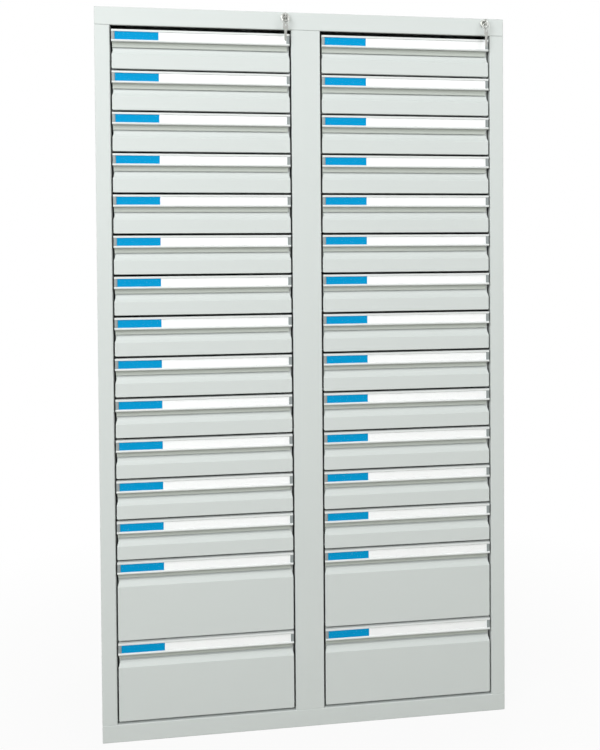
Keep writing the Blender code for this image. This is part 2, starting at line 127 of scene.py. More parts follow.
def length(name, description, default):
    """Size property in metres."""
    return bpy.props.FloatProperty(name=name, description=description, default=default,
                                   min=0.0, precision=5, subtype="DISTANCE", unit="LENGTH")


def colour(name, description, default):
    """Colour property in linear light."""
    return bpy.props.FloatVectorProperty(name=name, description=description, default=default,
                                         size=3, min=0.0, max=1.0, subtype="COLOR")


class CabinetSizes(bpy.types.PropertyGroup):
    """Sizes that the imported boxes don't give."""
    sheet: length("Carcass sheet", "Thickness of the carcass sheets", 0.0015)
    bend: length("Carcass bend", "Outer radius of the carcass bends", 0.0022)
    rail_lip: length("Rail lip", "Depth of the top rail's lower fold", 0.006)
    swage_rise: length("Swage rise", "Height of the ribs pressed in the back sheets", 0.0012)
    swage_slope: length("Swage slope", "Width of a rib's slope", 0.004)
    swage_width: length("Swage width", "Width of a rib's flat top", 0.030)
    screw_radius: length("Screw radius", "Radius of the back screws' flush heads", 0.0034)
    screw_spacing: length("Screw spacing", "Distance between the back screws", 0.240)
    drawer_sheet: length("Drawer sheet", "Thickness of the drawers' sheets", 0.0010)
    front_bend: length("Front bend", "Rounding of a drawer front's edges", 0.0014)
    front_corner: length("Front corner", "Radius of a front's lower corners", 0.0030)
    side_trim: length("Side trim", "How much a front is narrower than its box, each side", 0.0016)
    strip_height: length("Strip height", "Height of the pull strip", 0.030)
    strip_wall: length("Strip wall", "Wall of the pull strip", 0.0015)
    top_lip_height: length("Top lip height", "Height of the strip's top lip", 0.0050)
    top_lip_reach: length("Top lip reach", "How far the top lip stands out", 0.0025)
    bead_height: length("Bead height", "Height of the strip's bottom bead", 0.0055)
    bead_reach: length("Bead reach", "How far the bottom bead stands out", 0.0040)
    label_slot: length("Label slot", "Depth of the slots behind lip and bead", 0.0012)
    grip_height: length("Grip height", "Open height of the finger grip", 0.0157)
    slope_height: length("Slope height", "Height of the slope above the face", 0.0147)
    slope_depth: length("Slope depth", "How far the slope runs back", 0.0075)
    slope_trim: length("Slope trim", "How much the slope narrows towards its top", 0.0035)
    slope_bend: length("Slope bend", "Half height of the soft bend below the slope", 0.0015)
    grip_slit: length("Grip slit", "Slit between the slope and the grip panel", 0.0030)
    cap_width: length("Cap width", "Width of an end cap", 0.0076)
    blue_card: length("Blue card", "Length of the blue card", 0.104)
    card_thickness: length("Card thickness", "Thickness of a label card", 0.0003)
    cover_thickness: length("Cover thickness", "Thickness of the clear cover", 0.0006)
    strip_drop: length("Strip drop", "Drop of the strip below the front's highest edge", 0.0008)
    front_lift: length("Front lift", "Lift of the face over the front's lowest edge", 0.0006)
    liner_lean: length("Liner lean", "How far the grip liner leans forward", 0.0092)
    liner_left_inset: length("Liner left inset", "Gap left of the grip liner", 0.0010)
    liner_right_inset: length("Liner right inset", "Gap right of the grip liner", 0.0055)
    liner_gap: length("Liner gap", "Shadow gap between the slope and the liner", 0.0006)
    grip_room: length("Grip room", "Room behind the grip liner", 0.0030)
    keyway_clearance: length("Keyway clearance", "Room above and below a key's blade", 0.0009)
    key_thickness: length("Key thickness", "Thickness of a key", 0.0020)
    bow_radius: length("Bow radius", "Half of the length of a key's bow", 0.011)
    bow_half_width: length("Bow half width", "Half of the width of a key's bow", 0.0088)
    bow_hole_radius: length("Bow hole radius", "Radius of the hole in a bow", 0.004)
    bow_hole_offset: length("Bow hole offset", "Place of the hole above the bow's centre", 0.005)
    blade_width: length("Blade width", "Width of a key's blade", 0.0075)
    key_cut: length("Key cut", "Depth of the deepest cut in a blade", 0.0022)
    runner_gap: length("Runner gap", "Gap between a runner and the bay's side", 0.005)
    runner_flange: length("Runner flange", "How far a runner stands out of the pan", 0.009)
    runner_leg: length("Runner leg", "Height of the runner on the pan's side", 0.014)
    front_side_gap: length("Front side gap", "Gap beside a drawer front", 0.0025)
    pan_floor_rise: length("Pan floor rise", "Height of the pan floor over the front's edge", 0.004)
    pan_rim_drop: length("Pan rim drop", "Drop of the pan's rim below the front's top", 0.024)
    pan_bend: length("Pan bend", "Rounding of the pan's corners", 0.0025)
    slot_width: length("Slot width", "Width of the divider slots in the pan's sides", 0.0018)
    slot_spacing: length("Slot spacing", "Distance between the divider slots", 0.050)
    slot_margin: length("Slot margin", "Rim and foot left above and below a slot", 0.012)
    pan_hem: length("Pan hem", "Width of the fold along the pan's rim", 0.004)
    seam: length("Seam", "Gap between pieces that rest on each other", 0.0003)


class CabinetColours(bpy.types.PropertyGroup):
    """Colours of the finishes, in linear light."""
    enamel: colour("Enamel", "Light grey powder coat", (0.648, 0.682, 0.666))
    # Grip liner: the enamel made darker and greener as painted shade inside the finger grips
    liner_painted_shade: colour("Liner", "Duller enamel inside the finger grips", (0.56, 0.595, 0.55))
    strip: colour("Strip", "White pull strip", (0.77, 0.79, 0.78))
    cap: colour("Cap", "Grey end caps", (0.30, 0.33, 0.33))
    blue: colour("Blue card", "Blue part of the label", (0.001, 0.314, 0.62))
    paper: colour("White card", "White part of the label", (0.97, 0.97, 0.97))
    zinc: colour("Zinc", "Plated racks, runners and bars", (0.62, 0.64, 0.66))
    nickel: colour("Nickel", "Bright keys and lock rosettes", (0.50, 0.505, 0.48))
    plug: colour("Plug", "Satin core of the locks", (0.20, 0.20, 0.185))
    floor: colour("Floor", "Pale floor", (0.38, 0.37, 0.34))


class Socket:
    """Output of a shader node that takes part in sums and products."""

    def __init__(self, shades, link):
        self.shades = shades
        self.link = link

    def _maths(self, operation, first, second):
        return self.shades.add("ShaderNodeMath", {"operation": operation}, {0: first, 1: second})

    def __add__(self, other):
        return self._maths("ADD", self, other)

    def __radd__(self, other):
        return self._maths("ADD", other, self)

    def __mul__(self, other):
        return self._maths("MULTIPLY", self, other)

    def __rmul__(self, other):
        return self._maths("MULTIPLY", other, self)


class Shades:
    """Shader tree of one finish."""

    def __init__(self, name, tree=None):
        if tree is None:
            self.material = bpy.data.materials.new(name)
            self.material.use_nodes = True
            tree = self.material.node_tree
        self.tree = tree
        tree.nodes.clear()

    def add(self, kind, settings=None, inputs=None, output=0):
        """Node of one kind: its settings first, then the values or links of its sockets."""
        node = self.tree.nodes.new(kind)
        for key, value in (settings or {}).items():
            setattr(node, key, value)
        for key, value in (inputs or {}).items():
            if isinstance(value, Socket):
                self.tree.links.new(value.link, node.inputs[key])
            else:
                node.inputs[key].default_value = value
        return Socket(self, node.outputs[output])

    def coordinates(self):
        """Place on the piece itself, in metres."""
        return self.add("ShaderNodeTexCoord", output="Object")

    def noise(self, scale, detail=3.0, roughness=0.5, stretch=(1.0, 1.0, 1.0)):
        """Noise from 0 to 1 with its scale per metre, stretched along the axes."""
        place = self.add("ShaderNodeVectorMath", {"operation": "MULTIPLY"},
                         {0: self.coordinates(), 1: stretch})
        return self.add("ShaderNodeTexNoise", None,
                        {"Vector": place, "Scale": scale, "Detail": detail,
                         "Roughness": roughness}, "Fac")

    def mix(self, factor, first, second):
        """Colour between two colours."""
        return self.add("ShaderNodeMix", {"data_type": "RGBA"},
                        {0: factor, 6: first, 7: second}, 2)

    def bump(self, height, distance):
        """Normal of a surface raised by a height from 0 to 1."""
        return self.add("ShaderNodeBump", None,
                        {"Strength": 1.0, "Distance": distance, "Height": height})

    def background_ray(self):
        """1 for what the camera, gloss and clear plastic see, 0 for light on a surface."""
        names = ("Is Camera Ray", "Is Glossy Ray", "Is Transmission Ray")
        camera, glossy, through = (self.add("ShaderNodeLightPath", output=name) for name in names)
        return self.add("ShaderNodeMath", {"operation": "MINIMUM"},
                        {0: camera + glossy + through, 1: 1.0})

    def principled(self, inputs):
        """Principled surface, put out as the material's surface."""
        self.put_out(self.add("ShaderNodeBsdfPrincipled", None, inputs))
        return self.material

    def put_out(self, surface, kind="ShaderNodeOutputMaterial"):
        """End the tree with a surface."""
        node = self.tree.nodes.new(kind)
        self.tree.links.new(surface.link, node.inputs["Surface"])


def tinted(base, share):
    """A colour made lighter or darker by a share, with its alpha."""
    return (*(min(1.0, part * share) for part in base), 1.0)


def grained(name, base, noise, tones, roughness, height, clouds=None, more=None):
    """Finish whose fine noise shows in its tone, gloss and bumps.

    Tones are two shares of the base colour, mixed by a coarser noise where clouds are given.
    Roughness is its least value and its range.
    """
    shades = Shades(name)
    grain = shades.noise(*noise)
    patches = shades.noise(*clouds) if clouds else grain
    return shades.principled({
        "Base Color": shades.mix(patches, tinted(base, tones[0]), tinted(base, tones[1])),
        "Roughness": roughness[0] + roughness[1] * grain,
        "Normal": shades.bump(grain, height),
        **(more or {}),
    })


def powder_coat(name, base):
    """Fine-grained satin powder coat with a faint unevenness of tone."""
    return grained(name, base, (1400, 2.0), (0.985, 1.015), (0.46, 0.14), 0.00004,
                   clouds=(6, 2.0))


def strip_plastic(name, base):
    """Extruded plastic with faint draw lines along its length."""
    return grained(name, base, (900, 2.0, 0.5, (0.01, 1.0, 1.0)), (0.985, 1.01), (0.26, 0.10),
                   0.00002)


def cap_plastic(name, base):
    """Moulded grey plastic with a fine spark-eroded grain."""
    return grained(name, base, (2600, 2.0), (0.94, 1.05), (0.42, 0.16), 0.00003)


def card(name, base):
    """Smooth label card with faint fibres."""
    return grained(name, base, (1800, 4.0, 0.6, (0.35, 1.0, 1.0)), (0.985, 1.01), (0.62, 0.12),
                   0.00001, more={"Specular IOR Level": 0.05})


def clear_plastic(name):
    """Thin clear sheet: what is behind it shows, with a gloss on top."""
    shades = Shades(name)
    scuffs = shades.noise(60, 5.0, 0.6)
    gloss = shades.add("ShaderNodeFresnel", None, {"IOR": 1.06})
    clear = shades.add("ShaderNodeBsdfTransparent", None, {"Color": (0.998, 0.999, 0.999, 1.0)})
    shine = shades.add("ShaderNodeBsdfGlossy", None,
                       {"Color": (1.0, 1.0, 1.0, 1.0), "Roughness": 0.03 + 0.04 * scuffs})
    shades.put_out(shades.add("ShaderNodeMixShader", None, {0: gloss, 1: clear, 2: shine}))
    return shades.material


def zinc_plate(name, base):
    """Galvanised sheet with large crystals and a soft shine."""
    shades = Shades(name)
    place = shades.coordinates()
    crystals = shades.add("ShaderNodeTexVoronoi", {"feature": "F1"},
                          {"Vector": place, "Scale": 90.0}, "Color")
    crystal = shades.add("ShaderNodeSeparateColor", None, {0: crystals})
    fine = shades.noise(500, 3.0)
    return shades.principled({
        "Base Color": shades.mix(crystal, tinted(base, 0.88), tinted(base, 1.08)),
        "Metallic": 1.0,
        "Roughness": 0.30 + 0.12 * crystal + 0.06 * fine,
        "Normal": shades.bump(fine, 0.00002),
    })


def bright_metal(name, base, roughness, stretch):
    """Plated metal with fine polishing marks."""
    return grained(name, base, (2200, 3.0, 0.6, stretch), (0.95, 1.04), (roughness, 0.08),
                   0.00001, more={"Metallic": 1.0})


FINISHES = {}


def finish(name):
    """Material of a finish, made once from the colours in the panel."""
    if name not in FINISHES:
        colours = bpy.context.scene.cabinet_colours
        makers = {
            "enamel": lambda: powder_coat("light_grey_enamel", colours.enamel),
            # Painted shade: enamel darkened for the inside of the finger grips
            "liner_painted_shade": lambda: powder_coat("grip_painted_shade_enamel", colours.liner_painted_shade),
            "strip": lambda: strip_plastic("white_strip", colours.strip),
            "cap": lambda: cap_plastic("grey_cap", colours.cap),
            "blue": lambda: card("blue_card", colours.blue),
            "paper": lambda: card("white_card", colours.paper),
            "cover": lambda: clear_plastic("clear_cover"),
            "zinc": lambda: zinc_plate("galvanised_sheet", colours.zinc),
            "nickel": lambda: bright_metal("nickel_plate", colours.nickel, 0.26, (1, 1, 1)),
            "plug": lambda: bright_metal("plug_metal", colours.plug, 0.24, (1, 0.05, 1)),
        }
        FINISHES[name] = makers[name]()
    return FINISHES[name]


def to_mesh(name, bm):
    """Turn a bmesh into a mesh."""
    mesh = bpy.data.meshes.new(name)
    bm.to_mesh(mesh)
    bm.free()
    return mesh


def solid(name, bm):
    """Turn a closed bmesh into a mesh whose faces look outwards."""
    bmesh.ops.recalc_face_normals(bm, faces=bm.faces)
    return to_mesh(name, bm)


def bridge(bm, one, other, closed=True):
    """Add the faces between two rows of points."""
    for index in range(len(one) if closed else len(one) - 1):
        after = (index + 1) % len(one)
        bm.faces.new((one[index], one[after], other[after], other[index]))


def with_modifiers(mesh, *steps):
    """Mesh after a chain of modifiers, each a pair of its type and its settings."""
    carrier = bpy.data.objects.new(mesh.name, mesh)
    bpy.context.scene.collection.objects.link(carrier)
    for kind, settings in steps:
        modifier = carrier.modifiers.new(kind, kind)
        for key, value in settings.items():
            setattr(modifier, key, value)
    bpy.context.view_layer.update()
    evaluated = carrier.evaluated_get(bpy.context.evaluated_depsgraph_get())
    result = bpy.data.meshes.new_from_object(evaluated)
    result.name = mesh.name
    bpy.data.objects.remove(carrier)
    bpy.data.meshes.remove(mesh)
    return result


def smoothed(mesh, angle=SHARP_ANGLE):
    """Smooth shading that keeps flat faces flat beside their rounded edges."""
    mesh.shade_smooth()
    mesh.set_sharp_from_angle(angle=angle)
    return with_modifiers(mesh, ("WEIGHTED_NORMAL", {"keep_sharp": True}))


def add_piece(name, mesh, material, body, place=(0, 0, 0), turn=Matrix()):
    """Object for one piece, which rides on a body."""
    if not mesh.materials:
        mesh.materials.append(material)
    piece = bpy.data.objects.new(name, mesh)
    piece.matrix_world = Matrix.Translation(place) @ turn
    bpy.context.scene.collection.objects.link(piece)
    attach(piece, body)
    return piece


def prism(name, outline, axis, start, end):
    """Solid with a flat outline, drawn along one axis from start to end.

    The outline's pairs are (y, z) along X, (x, z) along Y and (x, y) along Z.
    """
    places = {
        "X": lambda u, v, w: (w, u, v),
        "Y": lambda u, v, w: (u, w, v),
        "Z": lambda u, v, w: (u, v, w),
    }
    place = places[axis]
    bm = bmesh.new()
    near = [bm.verts.new(place(u, v, start)) for u, v in outline]
    far = [bm.verts.new(place(u, v, end)) for u, v in outline]
    bm.faces.new(near[::-1])
    bm.faces.new(far)
    bridge(bm, near, far)
    return solid(name, bm)


def spread(start, end, spacing):
    """Places at an even spacing, centred between two ends."""
    count = int((end - start) / spacing)
    first = (start + end - (count - 1) * spacing) / 2
    return [first + index * spacing for index in range(count)]


def arc(centre, radii, first, last, steps):
    """Points along an ellipse's arc, its angles in degrees."""
    points = []
    for step in range(steps + 1):
        angle = math.radians(first + (last - first) * step / steps)
        points.append((centre[0] + radii[0] * math.cos(angle),
                       centre[1] + radii[1] * math.sin(angle)))
    return points


def folded_section(path, thickness, radius):
    """Outline of a sheet folded along a path with round bends.

    The sheet's thickness lies on the path's left.
    """
    path = [Vector(point) for point in path]
    outer, inner = [], []
    for index, point in enumerate(path):
        before = (point - path[max(index - 1, 0)]).normalized()
        after = (path[min(index + 1, len(path) - 1)] - point).normalized()
        if not before.length or not after.length:
            run = before if before.length else after
            outer.append(point)
            inner.append(point + Vector((-run.y, run.x)) * thickness)
            continue
        turn = math.atan2(before.cross(after), before.dot(after))
        left = Vector((-before.y, before.x))
        start = point - before * radius * math.tan(abs(turn) / 2)
        centre = start + left * math.copysign(radius, turn)
        for step in range(BEND_STEPS + 1):
            spin = Matrix.Rotation(turn * step / BEND_STEPS, 2)
            outer.append(centre + spin @ (start - centre))
            inner.append(outer[-1] + spin @ left * thickness)
    return outer + inner[::-1]


def cuboid(low, high):
    """Plain block between two corners."""
    bm = bmesh.new()
    bmesh.ops.create_cube(bm, size=1)
    low, span = Vector(low), Vector(high) - Vector(low)
    for vert in bm.verts:
        vert.co = low + Vector((span[axis] * (vert.co[axis] + 0.5) for axis in range(3)))
    return bm


def round_edges(bm, edges, radius, steps):
    """Round some of a bmesh's edges."""
    bmesh.ops.bevel(bm, geom=edges, offset=radius, segments=steps, profile=0.5, affect="EDGES")


def bevelled_block(name, low, high, radius, steps=3):
    """Block between two corners with all its edges rounded."""
    bm = cuboid(low, high)
    round_edges(bm, list(bm.edges), radius, steps)
    return to_mesh(name, bm)


def shell(name, bm, thickness):
    """Sheet of a thickness from an open surface, grown inwards."""
    mesh = to_mesh(name, bm)
    return with_modifiers(mesh, ("SOLIDIFY", {"thickness": thickness, "offset": -1,
                                              "use_even_offset": True}))


def open_box(low, high, open_axis, open_end, radius):
    """Box surface with one side open and its bends rounded, facing outwards."""
    bm = cuboid(low, high)
    gone = [face for face in bm.faces if face.normal[open_axis] * open_end > 0.5]
    bmesh.ops.delete(bm, geom=gone, context="FACES")
    round_edges(bm, [edge for edge in bm.edges if len(edge.link_faces) == 2], radius, BEND_STEPS)
    return bm


def turned(name, outline, centre, closed, steps=ROUND_STEPS):
    """Turn pairs of (radius, y) about an axis along Y through centre (x, z)."""
    bm = bmesh.new()
    rings = []
    for radius, y in outline:
        ring = []
        for step in range(steps):
            angle = math.tau * step / steps
            ring.append(bm.verts.new((centre[0] + radius * math.cos(angle), y,
                                      centre[1] + radius * math.sin(angle))))
        rings.append(ring)
    pairs = list(zip(rings, rings[1:]))
    if closed:
        pairs.append((rings[-1], rings[0]))
    else:
        bm.faces.new(rings[0])
        bm.faces.new(rings[-1][::-1])
    for one, other in pairs:
        bridge(bm, one, other)
    return solid(name, bm)


def cut(mesh, *tools):
    """Take tools, which are meshes, out of a mesh."""
    carriers = []
    steps = []
    for tool in tools:
        carrier = bpy.data.objects.new(tool.name, tool)
        bpy.context.scene.collection.objects.link(carrier)
        carriers.append(carrier)
        steps.append(("BOOLEAN", {"operation": "DIFFERENCE", "object": carrier}))
    result = with_modifiers(mesh, *steps)
    for carrier in carriers:
        tool = carrier.data
        bpy.data.objects.remove(carrier)
        bpy.data.meshes.remove(tool)
    return result


class DrawerMeasures:
    """Sizes of a drawer in its own frame: x from its middle, y from its face, z from its
    bottom edge."""

    def __init__(self, node):
        sizes = bpy.context.scene.cabinet_sizes
        low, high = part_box(node)
        self.sizes = sizes
        self.height = high.z - low.z - sizes.strip_drop
        self.half_front = (high.x - low.x) / 2 - sizes.side_trim
        self.face_y = low.y + sizes.bead_reach
        self.origin = ((low.x + high.x) / 2, self.face_y, low.z)
        self.back = high.y - self.face_y
        self.strip_low = self.height - sizes.strip_height
        self.window_low = self.strip_low + sizes.bead_height
        self.window_high = self.height - sizes.top_lip_height
        self.slope_top = self.strip_low - sizes.grip_height
        self.face_top = self.slope_top - sizes.slope_height
        self.grip_depth = sizes.slope_depth + sizes.grip_slit
        self.panel_y = self.grip_depth + sizes.grip_room
        self.half_bay = (high.x - low.x) / 2 + sizes.front_side_gap
        self.half_runner = self.half_bay - sizes.runner_gap
        self.half_pan = self.half_runner - sizes.runner_flange
        self.rim_z = self.height - sizes.pan_rim_drop


def front_mesh(name, m):
    """Pressed front from one sheet: flat face, hollow slope, round corners and returns."""
    sizes = m.sizes
    steepest = 2 * sizes.slope_depth / sizes.slope_height
    soft = sizes.slope_bend

    def depth(rise):
        """How far back the sheet is at a height over the flat face's top edge."""
        if rise < soft:
            return steepest * max(0.0, rise + soft) ** 2 / (4 * soft)
        share = rise / sizes.slope_height
        return sizes.slope_depth * (2 * share - share * share)

    corner = sizes.front_corner
    foot = sizes.front_lift
    rises = [soft * step / 2 for step in range(-2, 3)]
    rises += [sizes.slope_height * share for share in SLOPE_SHARES]
    right = [(x, z, 0.0) for x, z in arc((m.half_front - corner, foot + corner),
                                         (corner, corner), -90, 0, BEND_STEPS)]
    for rise in rises:
        trim = sizes.slope_trim * max(0.0, rise) / sizes.slope_height
        right.append((m.half_front - trim, m.face_top + rise, depth(rise)))
    rim = [Vector((-x, z, y)) for x, z, y in reversed(right)] + [Vector(item) for item in right]
    bm = bmesh.new()
    rows = []
    for step in range(BEND_STEPS + 1):
        angle = math.radians(90 * step / BEND_STEPS)
        row = []
        for index, point in enumerate(rim):
            run = rim[min(index + 1, len(rim) - 1)] - rim[max(index - 1, 0)]
            inwards = Vector((-run.y, run.x)).normalized()
            inset = inwards * sizes.front_bend * (1 - math.sin(angle))
            row.append(bm.verts.new((point.x + inset.x,
                                     point.z + sizes.front_bend * (1 - math.cos(angle)),
                                     point.y + inset.y)))
        rows.append(row)
    rows.append([bm.verts.new((point.x, m.grip_depth, point.y)) for point in rim])
    for one, other in zip(rows, rows[1:]):
        bridge(bm, one, other, False)
    inner = rows[0]
    sloping = len(rises) - 1
    face = bm.faces.new(inner[sloping:len(inner) - sloping])
    for index in range(sloping):
        bm.faces.new((inner[index], inner[index + 1], inner[-index - 2], inner[-index - 1]))
    bmesh.ops.recalc_face_normals(bm, faces=bm.faces)
    if face.normal.y > 0:
        bmesh.ops.reverse_faces(bm, faces=bm.faces)
    return smoothed(shell(name, bm, sizes.drawer_sheet))


def strip_mesh(name, m):
    """Extruded pull strip: web, wall, top lip and round bottom bead with label slots."""
    sizes = m.sizes
    wall = sizes.strip_wall
    web_back = m.panel_y + sizes.drawer_sheet
    slot_depth = sizes.top_lip_reach / 2
    bead = sizes.bead_height / 2
    lip_round = sizes.top_lip_reach / 3
    outline = [(web_back, m.height), (web_back, m.height - wall), (wall, m.height - wall),
               (wall, m.strip_low)]
    outline += arc((bead - sizes.bead_reach, m.strip_low + bead), (bead, bead), -90, -270,
                   BEAD_STEPS)
    outline += [(-slot_depth, m.window_low), (-slot_depth, m.window_low - sizes.label_slot),
                (0, m.window_low - sizes.label_slot), (0, m.window_high + sizes.label_slot),
                (-slot_depth, m.window_high + sizes.label_slot), (-slot_depth, m.window_high)]
    outline += arc((lip_round / 2 - sizes.top_lip_reach, m.window_high + lip_round / 2),
                   (lip_round / 2, lip_round / 2), -90, -180, BEND_STEPS)
    outline += arc((lip_round - sizes.top_lip_reach, m.height - lip_round),
                   (lip_round, lip_round), 180, 90, BEND_STEPS)
    return smoothed(prism(name, outline, "X", -m.half_front, m.half_front))


def cap_mesh(name, m, side):
    """End cap between lip and bead, which slopes back towards the strip's end."""
    sizes = m.sizes
    inner = side * (m.half_front - sizes.cap_width)
    outer = side * m.half_front
    nick = side * sizes.cap_width * 0.14
    proud = sizes.top_lip_reach * 0.85
    step, end = proud * 0.5, proud * 0.3
    root = -sizes.seam / 2
    outline = [(inner, root), (inner, -step), (inner + nick, -step), (inner + nick, -proud),
               (inner + 2 * nick, -proud), (outer, -end), (outer, root)]
    return smoothed(prism(name, outline, "Z", m.window_low + sizes.seam,
                          m.window_high - sizes.seam))


def card_mesh(name, m, low_x, high_x):
    """Label card whose long edges sit in the strip's slots."""
    sizes = m.sizes
    back = -sizes.seam / 4
    tuck = sizes.label_slot * CARD_TUCK
    return bevelled_block(name, (low_x, back - sizes.card_thickness, m.window_low - tuck),
                          (high_x, back, m.window_high + tuck),
                          sizes.card_thickness * EDGE_SHARE, 1)


def cover_mesh(name, m):
    """Clear flat cover over both cards, whose long edges sit in the strip's slots."""
    sizes = m.sizes
    back = -sizes.seam / 2 - sizes.card_thickness
    tuck = sizes.label_slot * COVER_TUCK
    half = m.half_front - sizes.cap_width
    front = back - sizes.cover_thickness
    return bevelled_block(name, (-half, front, m.window_low - tuck),
                          (half, back, m.window_high + tuck),
                          sizes.cover_thickness * EDGE_SHARE, 2)


def face_centre(low, high):
    """Middle of a box seen from the front, as x and z."""
    return (low.x + high.x) / 2, (low.z + high.z) / 2


def lock_body_mesh(name, low, high, bore):
    """Barrel with a round rosette, which has a rounded rim and a fine ring around the plug."""
    radius = (high.x - low.x) / 2
    barrel = radius * BARREL_SHARE
    rim = radius * 0.12
    rear = low.y + radius * 0.27
    sunk = low.y + rim / 3
    outline = [(bore, sunk), (bore + rim / 3, low.y)]
    outline += [(radius - rims * rim, y)
                for rims, y in zip(GROOVE_RIMS, (low.y, sunk, sunk, low.y))]
    outline += [(radius - rim + rim * math.sin(math.radians(turn)),
                 low.y + rim - rim * math.cos(math.radians(turn))) for turn in range(0, 91, 18)]
    outline += [(radius, rear), (barrel, rear), (barrel, high.y), (bore, high.y)]
    return smoothed(turned(name, outline, face_centre(low, high), True))


def lock_plug_mesh(name, low, high, sizes):
    """Plug with a rounded edge, a keyway through its face and a spigot behind."""
    centre = face_centre(low, high)
    radius = (high.x - low.x) / 2
    soft, spigot = radius * 0.08, radius * 0.6
    spigot_start = low.y + (high.y - low.y) * 0.81
    outline = [(radius - 3 * soft, low.y), (radius - soft, low.y), (radius, low.y + soft),
               (radius, spigot_start), (spigot, spigot_start), (spigot, high.y)]
    plug = turned(name, outline, centre, False)
    slot = sizes.key_thickness / 2 + sizes.seam
    tall = sizes.blade_width / 2 + sizes.keyway_clearance
    keyway = bevelled_block("keyway", (centre[0] - slot, low.y - radius, centre[1] - tall),
                            (centre[0] + slot, spigot_start - radius, centre[1] + tall),
                            sizes.seam / 2)
    return smoothed(cut(plug, keyway))


def key_mesh(name, key_length, sizes):
    """Flat key that hangs from its bow: blade down with cuts on one edge, width along X."""
    bow = sizes.bow_radius
    half = sizes.blade_width / 2
    tip = bow - key_length
    point, rise = half * 0.3, half * 0.8
    opening = math.degrees(math.asin(half / sizes.bow_half_width)) + NECK_ANGLE
    outline = arc((0, 0), (sizes.bow_half_width, bow), opening - 90, 270 - opening, ROUND_STEPS)
    neck = outline[-1][1] - half * 0.6
    run = (neck - tip - half) / (2 * len(KEY_CUTS) + 1)
    cut_start, cut_end = run * 0.7, run * 1.2
    z = tip + rise
    outline += [(-half, neck), (-half, z), (-point, tip), (point, tip), (half, z)]
    for depth in KEY_CUTS:
        shelf = half - depth * sizes.key_cut
        outline += [(shelf, z + cut_start), (shelf, z + cut_end)]
        z += 2 * run
        outline.append((half, z))
    outline.append((half, neck))
    thick = sizes.key_thickness / 2
    blank = prism(name, outline, "Y", -thick, thick)
    hole = turned("bow_hole", [(sizes.bow_hole_radius, -bow), (sizes.bow_hole_radius, bow)],
                  (0, sizes.bow_hole_offset), False)
    groove_left, groove_right, groove_floor = -half * 0.35, half * 0.05, thick * -0.35
    groove = bevelled_block("groove", (groove_left, -bow, tip - half),
                            (groove_right, groove_floor, neck), sizes.seam / 3)
    shaped = cut(blank, hole, groove)
    return smoothed(with_modifiers(shaped, ("BEVEL", {"width": sizes.seam / 2, "segments": 2,
                                                      "limit_method": "ANGLE"})))


def ring_mesh(name, radius, wire):
    """Split ring: two turns of wire that lie against each other, about the Y axis."""
    bm = bmesh.new()
    rounds = 2 * ROUND_STEPS - 4
    start, crossing = 0.35 * rounds, 0.30 * rounds
    rings = []
    for step in range(rounds + 1):
        angle = math.tau * step / ROUND_STEPS + math.pi / 3
        share = max(0.0, min(1.0, (step - start) / crossing))
        offset = wire / 2 * (2 * share * share * (3 - 2 * share) - 1)
        out = Vector((math.cos(angle), 0, math.sin(angle)))
        ring = []
        for part in range(WIRE_STEPS):
            turn = math.tau * part / WIRE_STEPS
            ring.append(bm.verts.new(out * (radius + wire * math.cos(turn))
                                     + Vector((0, offset + wire / 2 * math.sin(turn), 0))))
        rings.append(ring)
    bm.faces.new(rings[0])
    bm.faces.new(rings[-1][::-1])
    for one, other in zip(rings, rings[1:]):
        bridge(bm, one, other)
    return smoothed(solid(name, bm))


def grip_panel_mesh(name, m):
    """Upright sheet at the back of the finger grip, which closes the pan to the strip."""
    sizes = m.sizes
    low = (-m.half_runner, m.panel_y, sizes.pan_floor_rise)
    high = (m.half_runner, m.panel_y + sizes.drawer_sheet, m.height - sizes.strip_wall)
    return bevelled_block(name, low, high, sizes.drawer_sheet * EDGE_SHARE, 2)


def grip_liner_mesh(name, m):
    """Pressed sheet that hollows the finger grip and leans forward up to the strip.

    Its foot ends just above the slope, which leaves a shadow gap.
    """
    sizes = m.sizes
    lean = sizes.liner_lean
    centre = (m.grip_depth - sizes.drawer_sheet - lean, m.slope_top + sizes.liner_gap)
    front_side = arc(centre, (lean, sizes.grip_height), *LINER_ARC, 2 * BEND_STEPS)
    back_side = [(y + sizes.drawer_sheet, z) for y, z in reversed(front_side)]
    return smoothed(prism(name, front_side + back_side, "X",
                          sizes.liner_left_inset - m.half_front,
                          m.half_front - sizes.liner_right_inset))


def pan_mesh(name, m):
    """Folded pan with rounded corners, a hem along its rim and divider slots in its sides."""
    sizes = m.sizes
    front = m.panel_y + sizes.drawer_sheet + sizes.seam
    low = (-m.half_pan, front, sizes.pan_floor_rise)
    high = (m.half_pan, m.back, m.rim_z)
    bm = open_box(low, high, 2, 1, sizes.pan_bend)
    rim = [edge for edge in bm.edges if edge.is_boundary]
    behind = [edge for edge in rim if min(v.co.y for v in edge.verts) > front + sizes.pan_bend / 2]
    grown = bmesh.ops.extrude_edge_only(bm, edges=behind)["geom"]
    hem = [item for item in grown if isinstance(item, bmesh.types.BMVert)]
    for vert in hem:
        core_x = max(-m.half_pan + sizes.pan_bend, min(m.half_pan - sizes.pan_bend, vert.co.x))
        core_y = min(m.back - sizes.pan_bend, vert.co.y)
        out = Vector((vert.co.x - core_x, vert.co.y - core_y, 0)).normalized()
        vert.co += out * sizes.pan_hem
    slots = []
    for y in spread(front, m.back, sizes.slot_spacing):
        for side in (-1, 1):
            near, far = sorted((side * (m.half_pan - sizes.pan_hem),
                                side * (m.half_pan + sizes.seam / 3)))
            slots.append(bevelled_block(
                "divider_slot",
                (near, y - sizes.slot_width / 2, sizes.pan_floor_rise + sizes.slot_margin),
                (far, y + sizes.slot_width / 2, m.rim_z - sizes.slot_margin),
                sizes.slot_width * EDGE_SHARE, 1))
    return smoothed(cut(shell(name, bm, sizes.drawer_sheet), *slots))


